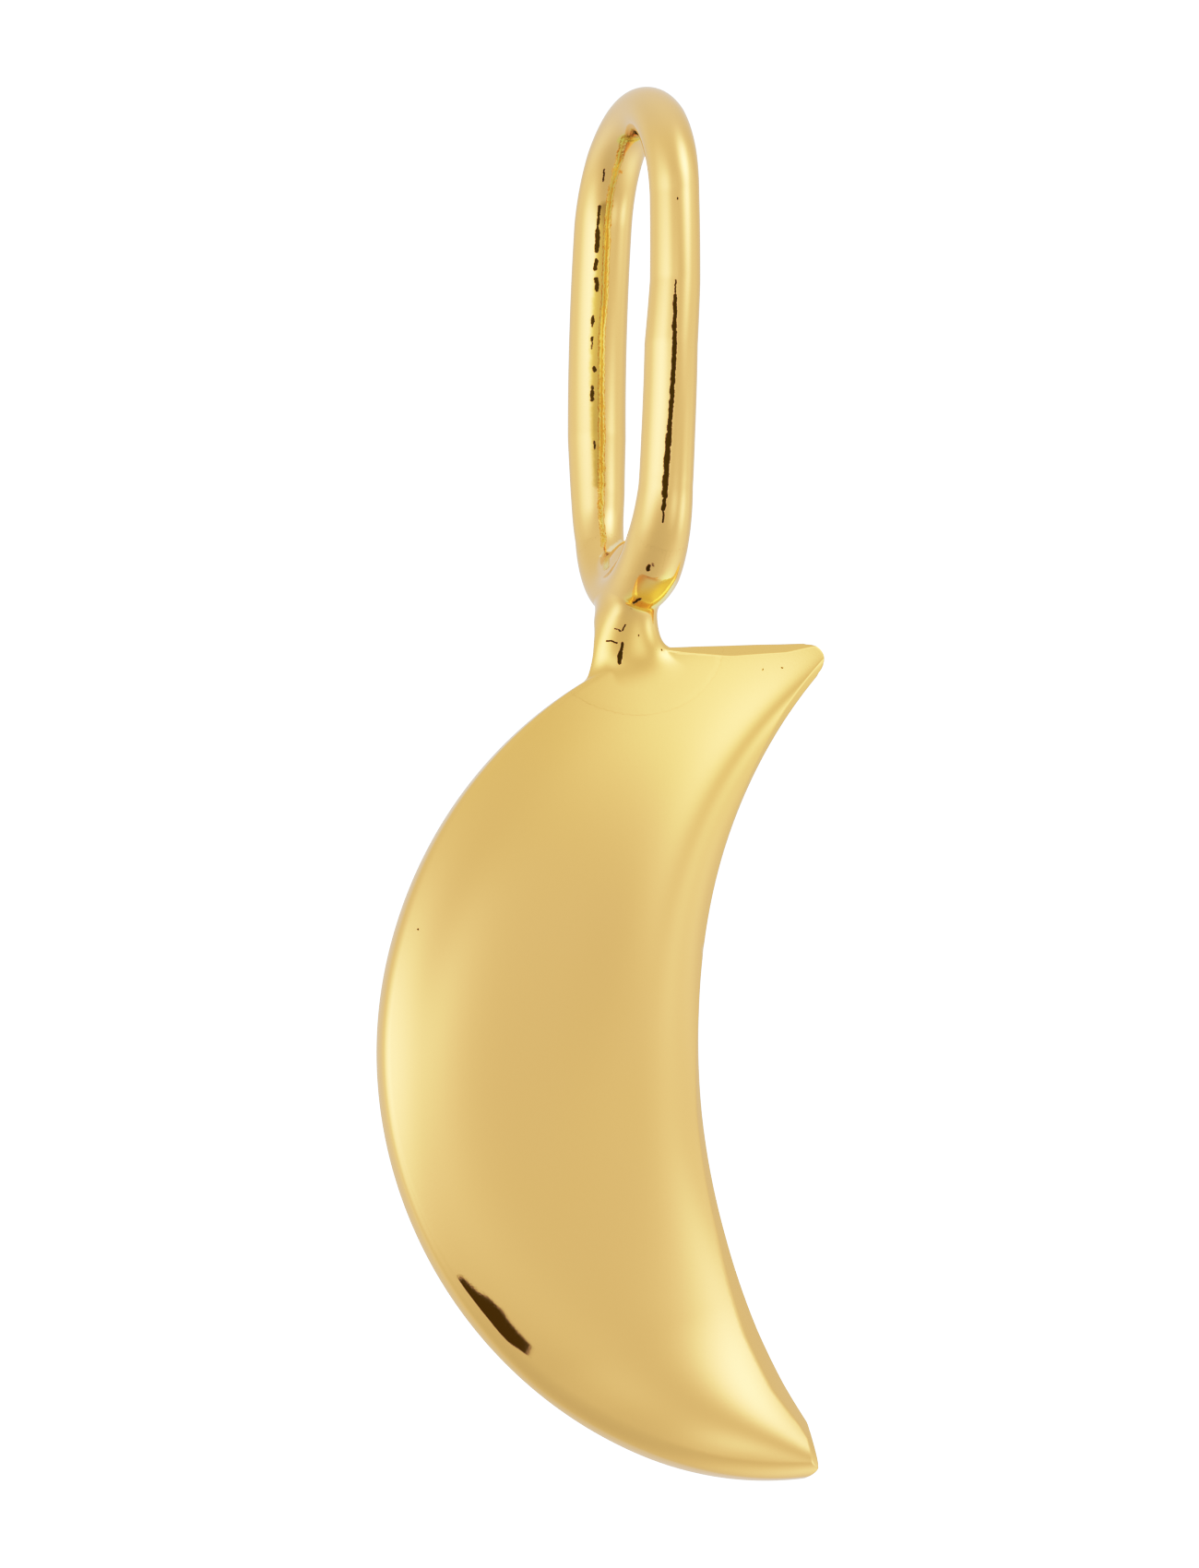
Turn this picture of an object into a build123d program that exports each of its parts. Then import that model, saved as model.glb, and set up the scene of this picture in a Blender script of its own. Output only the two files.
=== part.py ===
from build123d import *
import os
from math import acos, asin, atan2, cos, degrees, hypot, pi, radians, sin

os.makedirs("parts", exist_ok=True)

# Charm in one piece of metal: a domed crescent, a short neck and an upright oval wire loop.
# The origin is where a chain carries it, at the inside top of the loop.
# X runs to the right seen from the front, Y to the back and Z up. Lengths are millimetres.

# Wire loop, whose flat side faces left and right, so that a chain passes through it along X
wire_diameter = 0.85
loop_height = 8.41
loop_depth = 4.66
loop_side_bow = 0.145
loop_lean = 1.1

# Crescent outline, from the top edge down to the lower tip
crescent_height = 13.02
top_edge_width = 2.99
top_edge_rise = 0.19
belly_reach = 7.44
waist_reach = 2.16
lower_tip_setback = 0.46
tip_blunt = 0.7

# Crescent thickness
rim_thickness = 0.42
crown_height = 0.58
edge_roll = 0.24
back_roll = 0.07
top_edge_roll = 0.14
upper_tip_radius = 0.2
lower_tip_radius = 0.16

# Neck between loop and crescent
neck_width = 0.93
neck_length = 0.44
neck_offset = 0.14

# Where the two sides of the outline are upright, as shares of the height below the top edge
belly_height_share = 0.453
belly_lean = -6.7
waist_height_share = 0.323
waist_lean = -10.0

# How far the tips stand to the right of the middle of the neck
tips_from_neck = 3.44

# A rounded point reaches its corner by this share of the tangent distance, so that it crosses the sides
ROUND_BITE = 0.97


def arc_to(joint, normal, end):
    """Radius of the arc that leaves joint square to normal and ends at end."""
    along = (end[0] - joint[0], end[1] - joint[1])
    reach = along[0] * normal[0] + along[1] * normal[1]
    return (along[0] ** 2 + along[1] ** 2) / (2 * reach)


def side(top, joint, lean, bottom):
    """Two arcs that meet smoothly at joint, as centre, radius, first angle and last angle."""
    normal = (cos(radians(lean)), sin(radians(lean)))
    arcs = []
    for start, end in ((top, joint), (joint, bottom)):
        far = start if end is joint else end
        radius = arc_to(joint, normal, far)
        centre = (joint[0] + normal[0] * radius, joint[1] + normal[1] * radius)
        first = atan2(start[1] - centre[1], start[0] - centre[0]) % (2 * pi)
        last = atan2(end[1] - centre[1], end[0] - centre[0]) % (2 * pi)
        arcs.append((centre, radius, first, last))
    return arcs


def along_side(arcs, share):
    """Point at a share of the length of a side, counted from its top."""
    lengths = [radius * (last - first) for _, radius, first, last in arcs]
    left = share * sum(lengths)
    index = 0 if left <= lengths[0] else 1
    centre, radius, first, _ = arcs[index]
    angle = first + (left - index * lengths[0]) / radius
    return (centre[0] + radius * cos(angle), centre[1] + radius * sin(angle))


def heading(arcs, end):
    """Direction from the end of a side back along it: end 0 is its top and end 1 its bottom."""
    centre, _, first, last = arcs[end]
    angle = last if end else first
    turn = -1 if end else 1
    return (-turn * sin(angle), turn * cos(angle))


def bisector(first, second):
    """Half the angle between two directions, and the direction midway between them."""
    one = (first[0] / hypot(*first), first[1] / hypot(*first))
    two = (second[0] / hypot(*second), second[1] / hypot(*second))
    middle = (one[0] + two[0], one[1] + two[1])
    length = hypot(*middle)
    return acos(length / 2), (middle[0] / length, middle[1] / length)


# Places that follow from the sizes
wire_radius = wire_diameter / 2
loop_half = (loop_height - wire_diameter) / 2
loop_side = (loop_depth - wire_diameter) / 2
loop_end_radius = loop_side - loop_side_bow
loop_centre_drop = loop_half - wire_radius
loop_bottom = -(loop_centre_drop + loop_half + wire_radius) * cos(radians(loop_lean))
neck_x = -(loop_centre_drop + loop_half) * sin(radians(loop_lean)) - neck_offset / 2
top_edge_z = loop_bottom - neck_length
tips_x = neck_x + tips_from_neck
bottom_z = top_edge_z - crescent_height

# Left and right sides of the crescent
belly = (tips_x - belly_reach, top_edge_z - belly_height_share * crescent_height)
waist = (tips_x - waist_reach, top_edge_z - waist_height_share * crescent_height)
upper_tip = (tips_x, top_edge_z + top_edge_rise)
lower_tip_x = tips_x - lower_tip_setback
outer_side_top = (tips_x - top_edge_width, top_edge_z)
outer_side = side(outer_side_top, belly, belly_lean, (lower_tip_x, bottom_z))
inner_side = side(upper_tip, waist, waist_lean, (lower_tip_x, bottom_z + tip_blunt))

# Sections from the top edge to the lower tip: along is the share of both sides, crown is the share of
# crown_height, outer_roll and inner_roll are shares of edge_roll
sections = [
    {"along": 0.00, "crown": 0.42, "outer_roll": 0.30, "inner_roll": 0.30},
    {"along": 0.12, "crown": 0.68, "outer_roll": 0.40, "inner_roll": 0.32},
    {"along": 0.26, "crown": 0.90, "outer_roll": 0.45, "inner_roll": 0.26},
    {"along": 0.40, "crown": 1.00, "outer_roll": 0.50, "inner_roll": 0.20},
    {"along": 0.54, "crown": 1.00, "outer_roll": 0.55, "inner_roll": 0.24},
    {"along": 0.68, "crown": 0.90, "outer_roll": 0.65, "inner_roll": 0.45},
    {"along": 0.80, "crown": 0.70, "outer_roll": 0.75, "inner_roll": 0.75},
    {"along": 0.91, "crown": 0.42, "outer_roll": 0.70, "inner_roll": 0.95},
    {"along": 1.00, "crown": 0.12, "outer_roll": 0.45, "inner_roll": 0.45},
]

with BuildPart() as crescent:
    for row in sections:
        outer_point = along_side(outer_side, row["along"])
        inner_point = along_side(inner_side, row["along"])
        across = (inner_point[0] - outer_point[0], inner_point[1] - outer_point[1])
        width = hypot(across[0], across[1])
        outer_roll = row["outer_roll"] * edge_roll
        inner_roll = row["inner_roll"] * edge_roll
        shoulder = rim_thickness / 2
        crown = shoulder + row["crown"] * crown_height
        section_plane = Plane(
            origin=(outer_point[0], 0, outer_point[1]),
            x_dir=(across[0], 0, across[1]),
            z_dir=(across[1], 0, -across[0]),
        )
        with BuildSketch(section_plane):
            with BuildLine():
                Polyline(
                    (outer_roll, shoulder),
                    (0, shoulder - outer_roll),
                    (0, back_roll - shoulder),
                    (back_roll, -shoulder),
                    (width - back_roll, -shoulder),
                    (width, back_roll - shoulder),
                    (width, shoulder - inner_roll),
                    (width - inner_roll, shoulder),
                )
                ThreePointArc((outer_roll, shoulder), (width / 2, crown), (width - inner_roll, shoulder))
            make_face()
    loft()
    # Bevel along the front of the top edge, widest where the dome stands proudest
    top_run = (upper_tip[0] - outer_side_top[0], 0, upper_tip[1] - outer_side_top[1])
    apex = rim_thickness / 2 + sections[0]["crown"] * crown_height
    top_plane = Plane(origin=(outer_side_top[0], 0, outer_side_top[1]), x_dir=(0, -1, 0), z_dir=top_run)
    with BuildSketch(top_plane.offset(-top_edge_width)):
        with BuildLine():
            Polyline(
                (apex - top_edge_roll - rim_thickness, -rim_thickness),
                (apex + rim_thickness, top_edge_roll + rim_thickness),
                (apex + rim_thickness, -rim_thickness),
                close=True,
            )
        make_face()
    extrude(amount=3 * top_edge_width, mode=Mode.SUBTRACT)
    # Rounded points of both tips
    with BuildSketch(Plane.XZ):
        for corner, first, second, radius in (
            (upper_tip, heading(inner_side, 0), (-top_run[0], -top_run[2]), upper_tip_radius),
            ((lower_tip_x, bottom_z), (0, 1), heading(outer_side, 1), lower_tip_radius),
        ):
            half_angle, inward = bisector(first, second)
            centre_reach = ROUND_BITE * radius / sin(half_angle)
            centre = (corner[0] + centre_reach * inward[0], corner[1] + centre_reach * inward[1])
            chord = radius * cos(half_angle) ** 2 / sin(half_angle)
            chord_middle = (corner[0] + chord * inward[0], corner[1] + chord * inward[1], 0)
            with Locations(Location(chord_middle, degrees(atan2(inward[1], inward[0])))):
                Rectangle(2 * chord, 4 * chord, align=(Align.MAX, Align.CENTER))
            with Locations(centre):
                Circle(radius, mode=Mode.SUBTRACT)
    extrude(amount=2 * (rim_thickness + crown_height), both=True, mode=Mode.SUBTRACT)

# Loop: two ends and two nearly straight sides, each a single arc
side_radius = ((loop_half - loop_end_radius) ** 2 + loop_side**2 - loop_end_radius**2) / (
    2 * (loop_side - loop_end_radius)
)
side_angle = degrees(asin((loop_half - loop_end_radius) / (side_radius - loop_end_radius)))
loop_plane = Plane(origin=(0, 0, 0), x_dir=(0, 1, 0), z_dir=(1, 0, 0)).rotated((0, loop_lean, 0))

with BuildPart() as loop:
    with BuildLine(loop_plane):
        middle = -loop_centre_drop
        for turn in (0, 180):
            flip = 1 if turn == 0 else -1
            end_centre = (0, middle + flip * (loop_half - loop_end_radius))
            side_centre = (flip * (side_radius - loop_side), middle)
            CenterArc(end_centre, loop_end_radius, side_angle + turn, 180 - 2 * side_angle)
            CenterArc(side_centre, side_radius, 180 - side_angle + turn, 2 * side_angle)
    wire_start = loop_plane.from_local_coords((0, wire_radius))
    with BuildSketch(Plane(origin=wire_start, x_dir=(1, 0, 0), z_dir=(0, 1, 0))):
        Circle(wire_radius)
    sweep()

# Neck: rounds that turn from the loop's wire into the flat shoulder of the crescent
neck_radius = neck_width / 2
neck_rounds = [
    {"drop": -1.60, "half_width": 0.88, "half_depth": 0.88, "shift": 0.0},
    {"drop": -0.20, "half_width": 1.00, "half_depth": 1.05, "shift": 0.0},
    {"drop": 0.45, "half_width": 1.00, "half_depth": 0.96, "shift": 0.0},
    {"drop": 1.15, "half_width": 1.05, "half_depth": 0.76, "shift": -0.01},
    {"drop": 2.70, "half_width": 2.05, "half_depth": 0.36, "shift": 0.0},
]

with BuildPart() as neck:
    for row in neck_rounds:
        level = loop_bottom - row["drop"] * neck_length
        centre_x = neck_x + row["shift"] * neck_width
        with BuildSketch(Plane.XY.offset(level)):
            with Locations((centre_x, 0)):
                Ellipse(row["half_width"] * neck_radius, row["half_depth"] * neck_radius)
    loft()

with BuildPart() as moon_charm:
    add(crescent.part)
    add(neck.part)
    add(loop.part)

moon_charm.part.label = "moon_charm"
export_step(moon_charm.part, "parts/moon_charm.step")
print("solids", len(moon_charm.part.solids()), "volume", round(moon_charm.part.volume, 3))
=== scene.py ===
import logging
import math
from dataclasses import dataclass, field
from enum import Enum

import bpy
import numpy as np
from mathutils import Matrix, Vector
from numpy.polynomial.chebyshev import chebval


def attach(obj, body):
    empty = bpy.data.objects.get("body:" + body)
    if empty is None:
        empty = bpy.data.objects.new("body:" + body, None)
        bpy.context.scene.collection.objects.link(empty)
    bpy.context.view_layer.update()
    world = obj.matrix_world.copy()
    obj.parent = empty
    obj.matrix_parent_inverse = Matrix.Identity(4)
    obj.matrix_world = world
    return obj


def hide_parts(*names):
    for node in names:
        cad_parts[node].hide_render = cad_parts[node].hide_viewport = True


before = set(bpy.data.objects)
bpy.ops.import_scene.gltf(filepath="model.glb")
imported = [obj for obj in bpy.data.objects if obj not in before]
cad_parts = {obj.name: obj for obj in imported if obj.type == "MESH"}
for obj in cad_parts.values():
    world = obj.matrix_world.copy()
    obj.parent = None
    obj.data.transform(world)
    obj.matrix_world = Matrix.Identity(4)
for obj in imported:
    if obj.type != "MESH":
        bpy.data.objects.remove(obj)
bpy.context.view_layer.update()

log = logging.getLogger("moon_charm")

# The bench is marked in millimetres, and the finished charm is brought to metres at the end
MM = 0.001

# Smallest length that counts at the bench, and steps in which the strength of a modifier is stored
TINY = 0.001
WEIGHT_STEPS = 20

# The photograph's height in pixels, and the mean of a noise
PHOTO_HEIGHT = 1700
NOISE_MEAN = 0.5

Piece = bpy.types.Object
Pair = tuple[float, float]
Triple = tuple[float, float, float]
Route = tuple[Triple, ...]


class Side(Enum):
    """The two long sides of the crescent's outline."""

    OUTER = 1
    INNER = -1


def smooth_step(low: float, high: float, value: np.ndarray) -> np.ndarray:
    """Soft change from 0 to 1.

    Args:
        low: Value at and below which the result is 0.
        high: Value at and above which the result is 1.
        value: Values to look at.

    Returns:
        Shares from 0 to 1.
    """
    share = np.clip((value - low) / (high - low), 0, 1)
    return share * share * (3 - 2 * share)


def on_circle(centre: Pair, radius: float, degrees: float) -> Pair:
    """Point of a circle in the upright plane.

    Args:
        centre: Middle of the circle.
        radius: Its radius.
        degrees: Direction from the middle, from the right and upwards.

    Returns:
        The point, as distance to the right and height.
    """
    angle = math.radians(degrees)
    return centre[0] + radius * math.cos(angle), centre[1] + radius * math.sin(angle)


def direction(azimuth: float, elevation: float) -> Vector:
    """Direction from the charm to a lamp or camera.

    Args:
        azimuth: Degrees round the charm to its right, from straight before the face.
        elevation: Degrees upwards.

    Returns:
        The direction, with a length of one.
    """
    turn, rise = math.radians(azimuth), math.radians(elevation)
    return Vector((math.sin(turn) * math.cos(rise), -math.cos(turn) * math.cos(rise), math.sin(rise)))


class Bench:
    """Short names for the operators that every piece uses."""

    @staticmethod
    def clear() -> None:
        """Leaves nothing selected."""
        if bpy.context.object and bpy.context.object.mode != "OBJECT":
            bpy.ops.object.mode_set(mode="OBJECT")
        bpy.ops.object.select_all(action="DESELECT")

    @staticmethod
    def take(piece: Piece) -> None:
        """Makes one piece the only one selected.

        Args:
            piece: The piece to work on.
        """
        Bench.clear()
        piece.select_set(True)
        bpy.context.view_layer.objects.active = piece

    @staticmethod
    def edit(piece: Piece) -> None:
        """Opens a piece in edit mode with all of it selected.

        Args:
            piece: The piece to work on.
        """
        Bench.take(piece)
        bpy.ops.object.mode_set(mode="EDIT")
        bpy.ops.mesh.select_all(action="SELECT")

    @staticmethod
    def close() -> None:
        """Turns the faces of the open piece outwards and leaves edit mode."""
        bpy.ops.mesh.select_all(action="SELECT")
        bpy.ops.mesh.normals_make_consistent(inside=False)
        bpy.ops.object.mode_set(mode="OBJECT")

    @staticmethod
    def settle(piece: Piece) -> None:
        """Puts a piece's place, turn and scale into its mesh."""
        Bench.take(piece)
        bpy.ops.object.transform_apply(location=True, rotation=True, scale=True)

    @staticmethod
    def modify(piece: Piece, kind: str, **settings: object) -> None:
        """Adds a modifier and applies it.

        Args:
            piece: The piece to change.
            kind: Type of the modifier.
            settings: Values of its fields.
        """
        Bench.take(piece)
        modifier = piece.modifiers.new(kind.title(), kind)
        for name, value in settings.items():
            setattr(modifier, name, value)
        bpy.ops.object.modifier_apply(modifier=modifier.name)

    @staticmethod
    def read(source: bpy.types.bpy_prop_collection, name: str) -> np.ndarray:
        """Reads one vector of each point.

        Args:
            source: The points, or the directions in which they face.
            name: Name of the vector.

        Returns:
            The vectors, one row each.
        """
        rows = np.empty(len(source) * 3, np.float32)
        source.foreach_get(name, rows)
        return rows.reshape(-1, 3).astype(float)

    @staticmethod
    def points(piece: Piece) -> np.ndarray:
        """Places of all points of a piece, one row each."""
        return Bench.read(piece.data.vertices, "co")

    @staticmethod
    def put(piece: Piece, places: np.ndarray) -> None:
        """Moves all points of a piece to new places, one row each."""
        piece.data.vertices.foreach_set("co", places.astype(np.float32).ravel())
        piece.data.update()

    @staticmethod
    def weigh(piece: Piece, name: str, weights: np.ndarray) -> None:
        """Stores how strongly a modifier acts at each point.

        Args:
            piece: The piece to mark.
            name: Name of the vertex group.
            weights: Shares from 0 to 1.
        """
        group = piece.vertex_groups.new(name=name)
        levels = np.round(weights * WEIGHT_STEPS).astype(int)
        for level in np.unique(levels[levels > 0]):
            group.add(np.flatnonzero(levels == level).tolist(), float(level) / WEIGHT_STEPS, "REPLACE")


@dataclass(frozen=True)
class Arc:
    """Part of a circle in the upright plane of the crescent's face.

    Angles run upwards from the right, in degrees, and grow from the top of the crescent down.
    """

    centre: Pair
    radius: float
    first: float
    last: float

    @property
    def length(self) -> float:
        """Length along the arc."""
        return self.radius * math.radians(self.last - self.first)

    def at(self, degrees: float) -> Pair:
        """Point of the arc in one direction from its centre."""
        return on_circle(self.centre, self.radius, degrees)

    def heading(self, degrees: float) -> Vector:
        """Direction down the arc at one direction from its centre."""
        angle = math.radians(degrees)
        return Vector((-math.sin(angle), math.cos(angle)))

    def grown(self, degrees: float, radius: float, last: float) -> "Arc":
        """Arc of another radius that goes on smoothly from one direction of this arc to a last one."""
        centre = on_circle(self.centre, self.radius - radius, degrees)
        return Arc(centre, radius, degrees, last)

    def split(self, length: float) -> tuple["Arc", "Arc"]:
        """Cuts the arc in two.

        Args:
            length: Length of the first part, or of the last part where it is below zero.

        Returns:
            Both parts.
        """
        turn = math.degrees(length / self.radius)
        cut = self.first + turn if length > 0 else self.last + turn
        return Arc(self.centre, self.radius, self.first, cut), Arc(self.centre, self.radius, cut, self.last)


@dataclass
class Outline:
    """One long side of the crescent as smooth arcs, from the top down."""

    side: Side
    arcs: list[Arc]

    @property
    def length(self) -> float:
        """Length of the whole side."""
        return sum(arc.length for arc in self.arcs)

    @property
    def top(self) -> Pair:
        """Point where the side starts."""
        return self.arcs[0].at(self.arcs[0].first)

    @property
    def foot(self) -> Pair:
        """Point where the side ends."""
        return self.arcs[-1].at(self.arcs[-1].last)

    def measure(self, across: np.ndarray, height: np.ndarray) -> tuple[np.ndarray, np.ndarray]:
        """Depth of points inside the outline, and how far along it they stand.

        Args:
            across: Distances to the right of the origin.
            height: Heights above the origin.

        Returns:
            Distance from the side into the crescent, and share of the side from the top.
        """
        depth = np.zeros_like(across)
        along = np.zeros_like(across)
        run = 0.0
        for number, arc in enumerate(self.arcs):
            right, up = across - arc.centre[0], height - arc.centre[1]
            angle = np.degrees(np.arctan2(up, right)) % 360
            inside = self.side.value * (arc.radius - np.hypot(right, up))
            here = angle >= arc.first if number else np.ones_like(angle, bool)
            depth = np.where(here, inside, depth)
            reach = run + arc.radius * np.radians(angle - arc.first)
            along = np.where(here, reach / self.length, along)
            run += arc.length
        return depth, along


@dataclass
class Crescent:
    """Domed crescent: the flat back sheet, its walls and the pressed face."""

    # Outer side: three tangent arcs, the middle one round the belly. A program fitted the arcs of both
    # sides to the edges in the photograph
    belly_centre: Pair = (2.251, -14.571)
    belly_radius: float = 6.471
    belly_first: float = 168.5
    belly_last: float = 250.2
    shoulder_radius: float = 7.289
    shoulder_first: float = 113.5
    foot_radius: float = 5.293
    foot_last: float = 281.1

    # Inner side: two arcs that meet at the waist
    waist: Pair = (0.993, -12.722)
    waist_lean: float = -6.99
    inner_upper_radius: float = 8.524
    inner_lower_radius: float = 10.942
    inner_first: float = 135.6
    inner_last: float = 213.0

    rim_thickness: float = 0.42

    # Chebyshev terms from the top edge to the lower tip: slope of the dome at its edges, how much fuller
    # its inner half is than its outer half, and how much fuller its middle is, counted from a level. A
    # program fitted the terms, and top_share and top_fade below, to the shading in the photograph
    slope_terms: tuple[float, ...] = (0.640, -0.082, 0.048, 0.147)
    inner_terms: tuple[float, ...] = (0.220, -0.220, -0.011)
    middle_terms: tuple[float, ...] = (-0.300, 0.300, 0.300)
    middle_level: float = 0.6
    height: float = 13.0

    # Slope that the face gains from its inner side near the lower tip, and the shares of that side over
    # which it sets in, then how much of the dome is left at the top edge and how soon it is full below
    foot_tilt: float = 0.09
    foot_reach: Pair = (0.84, 1.00)
    top_share: float = 0.05
    top_fade: float = 0.80

    # Rolled edges, as radii, and where along the outer side the roll grows
    outer_roll: float = 0.09
    foot_roll: float = 0.22
    foot_roll_reach: Pair = (0.5, 0.85)
    crisp_roll: float = 0.035
    back_roll: float = 0.06

    # Filed bevels along the front: share of the inner side and width there, then slope over the dome's own
    inner_bevel: tuple[Pair, ...] = (
        (0.00, 0.13), (0.12, 0.12), (0.26, 0.06), (0.38, 0.02), (0.50, 0.04),
        (0.62, 0.17), (0.76, 0.22), (0.88, 0.37), (0.95, 0.36), (1.00, 0.24),
    )
    bevel_slope: float = 0.50
    top_bevel: tuple[Pair, ...] = (
        (0.3, 0.04), (0.65, 0.11), (1.4, 0.20), (2.3, 0.16), (2.8, 0.06), (3.4, 0.03),
    )
    top_slope: float = 0.85
    top_arch: float = 0.035
    end_bevel: float = 0.14

    # Rounded points, and how far past a corner the rounding looks for its points
    upper_tip_radius: float = 0.26
    lower_tip_radius: float = 0.17
    corner_reach: float = 1.05

    # Steps of the mesh: close together at the top edge, along the body, and at the lower end
    top_reach: Pair = (0.90, 0.45)
    end_reach: float = 0.50
    top_steps: int = 30
    body_steps: int = 168
    end_steps: int = 24
    columns: int = 84
    crowding: float = 0.88

    outer: Outline = field(init=False)
    inner: Outline = field(init=False)

    def __post_init__(self) -> None:
        """Works out both sides of the outline."""
        belly = Arc(self.belly_centre, self.belly_radius, self.belly_first, self.belly_last)
        shoulder = belly.grown(self.belly_first, self.shoulder_radius, self.belly_first)
        shoulder = Arc(shoulder.centre, shoulder.radius, self.shoulder_first, self.belly_first)
        foot = belly.grown(self.belly_last, self.foot_radius, self.foot_last)
        self.outer = Outline(
            Side.OUTER, [*shoulder.split(self.top_reach[0]), belly, *foot.split(-self.end_reach)]
        )
        upper_centre = on_circle(self.waist, self.inner_upper_radius, self.waist_lean)
        lower_centre = on_circle(self.waist, self.inner_lower_radius, self.waist_lean)
        meet = 180 + self.waist_lean
        upper = Arc(upper_centre, self.inner_upper_radius, self.inner_first, meet)
        lower = Arc(lower_centre, self.inner_lower_radius, meet, self.inner_last)
        self.inner = Outline(Side.INNER, [*upper.split(self.top_reach[1]), *lower.split(-self.end_reach)])

    def build(self) -> Piece:
        """Cuts, thickens and presses the crescent.

        Returns:
            The closed shell, in millimetres.
        """
        piece = self._sheet()
        self._crowd(piece)
        self._thicken(piece)
        self._press(piece)
        self._round_points(piece)
        return piece

    def _sheet(self) -> Piece:
        """Flat sheet between the two sides of the outline.

        Returns:
            The sheet, in the plane of the back.
        """
        Bench.clear()
        start = self.outer.top
        bpy.ops.mesh.primitive_plane_add(size=TINY, location=(start[0], 0, start[1]))
        piece = bpy.context.object
        Bench.settle(piece)
        Bench.edit(piece)
        for outline in (self.outer, self.inner):
            if outline is self.inner:
                bpy.ops.mesh.select_all(action="DESELECT")
                start = outline.top
                bpy.ops.mesh.primitive_plane_add(size=TINY, location=(start[0], 0, start[1]))
            bpy.ops.mesh.merge(type="CENTER")
            for arc, steps in zip(outline.arcs, self._steps(outline)):
                angle = math.radians(arc.last - arc.first)
                middle = (arc.centre[0], 0, arc.centre[1])
                bpy.ops.mesh.spin(steps=steps, angle=angle, center=middle, axis=(0, 1, 0))
        bpy.ops.mesh.select_all(action="SELECT")
        bpy.ops.mesh.remove_doubles(threshold=TINY)
        bpy.ops.mesh.bridge_edge_loops(number_cuts=self.columns, interpolation="LINEAR")
        bpy.ops.object.mode_set(mode="OBJECT")
        return piece

    def _steps(self, outline: Outline) -> list[int]:
        """Number of mesh steps along each arc of one side.

        Args:
            outline: The side.

        Returns:
            One number per arc, with the same sum for both sides.
        """
        body = outline.arcs[1:-1]
        length = sum(arc.length for arc in body)
        steps = [round(self.body_steps * arc.length / length) for arc in body[:-1]]
        return [self.top_steps, *steps, self.body_steps - sum(steps), self.end_steps]

    def _crowd(self, piece: Piece) -> None:
        """Slides the columns of the sheet towards both sides, where the edges need them.

        Args:
            piece: The flat sheet.
        """
        starts, ends = (np.array(self._stations(outline)) for outline in (self.outer, self.inner))
        run = ends - starts
        places = Bench.points(piece)
        spots = places[:, None, (0, 2)] - starts[None]
        off = np.abs(spots[..., 0] * run[:, 1] - spots[..., 1] * run[:, 0]) / np.hypot(*run.T)
        row = off.argmin(1)
        share = (spots[np.arange(len(row)), row] * run[row]).sum(1) / (run[row] ** 2).sum(1)
        share -= self.crowding * np.sin(2 * math.pi * share) / (2 * math.pi)
        places[:, (0, 2)] = starts[row] + run[row] * share[:, None]
        Bench.put(piece, places)

    def _stations(self, outline: Outline) -> list[Pair]:
        """Points of one side that the mesh steps through.

        Args:
            outline: The side.

        Returns:
            The points, from the top down.
        """
        points = [outline.top]
        for arc, steps in zip(outline.arcs, self._steps(outline)):
            points += [arc.at(arc.first + (arc.last - arc.first) * (k + 1) / steps) for k in range(steps)]
        return points

    def _thicken(self, piece: Piece) -> None:
        """Gives the sheet its walls and its front.

        Args:
            piece: The flat sheet.
        """
        Bench.edit(piece)
        bpy.ops.transform.translate(value=(0, self.rim_thickness / 2, 0))
        move = {"value": (0, -self.rim_thickness, 0)}
        bpy.ops.mesh.extrude_region_move(TRANSFORM_OT_translate=move)
        Bench.close()

    def lift(self, across: np.ndarray, height: np.ndarray) -> np.ndarray:
        """How far the pressed face stands in front of the flat rim.

        Args:
            across: Distances to the right of the origin.
            height: Heights above the origin.

        Returns:
            Height of the face over the rim, below zero where an edge is rolled.
        """
        outer, along = self.outer.measure(across, height)
        inner, inner_along = self.inner.measure(across, height)
        outer, inner = np.maximum(outer, 0), np.maximum(inner, 0)
        width = np.maximum(outer + inner, TINY)
        below = np.maximum(self._below_top(across, height), 0)
        down = 2 * below / self.height - 1
        over = outer / width
        terms = (self.slope_terms, self.inner_terms, self.middle_terms)
        slope, lean, full = (chebval(down, row) for row in terms)
        shape = slope * (1 + lean * (2 * over - 1) + full * (4 * over * (1 - over) - self.middle_level))
        fall = 1 - (1 - self.top_share) * np.exp(-below / self.top_fade)
        tilt = self.foot_tilt * smooth_step(*self.foot_reach, inner_along) * (height < self.waist[1])
        dome = shape * fall * outer * inner / width + tilt * inner
        toe = self._toe_depth(across, height)
        foot = smooth_step(*self.foot_roll_reach, along)
        bevel = np.interp(inner_along, *zip(*self.inner_bevel))
        top = np.interp(across, *zip(*self.top_bevel))
        drops = (
            self._roll(outer, self.outer_roll + (self.foot_roll - self.outer_roll) * foot),
            self.bevel_slope * (bevel - inner) + self._roll(inner, self.crisp_roll),
            self.top_slope * (top - below) + self._roll(below, self.crisp_roll),
            self.bevel_slope * (self.end_bevel - toe) + self._roll(toe, self.crisp_roll),
        )
        return dome - np.maximum(np.max(drops, axis=0), 0)

    def _below_top(self, across: np.ndarray, height: np.ndarray) -> np.ndarray:
        """Distance of points below the straight top edge, below zero above it."""
        return self._inside(self.outer.top, self.inner.top, across, height)

    def _toe_depth(self, across: np.ndarray, height: np.ndarray) -> np.ndarray:
        """Distance of points in the lower half from the short edge at the lower tip into the crescent."""
        inside = self._inside(self.inner.foot, self.outer.foot, across, height)
        return np.where(height > self.waist[1], self.height, inside)

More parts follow.
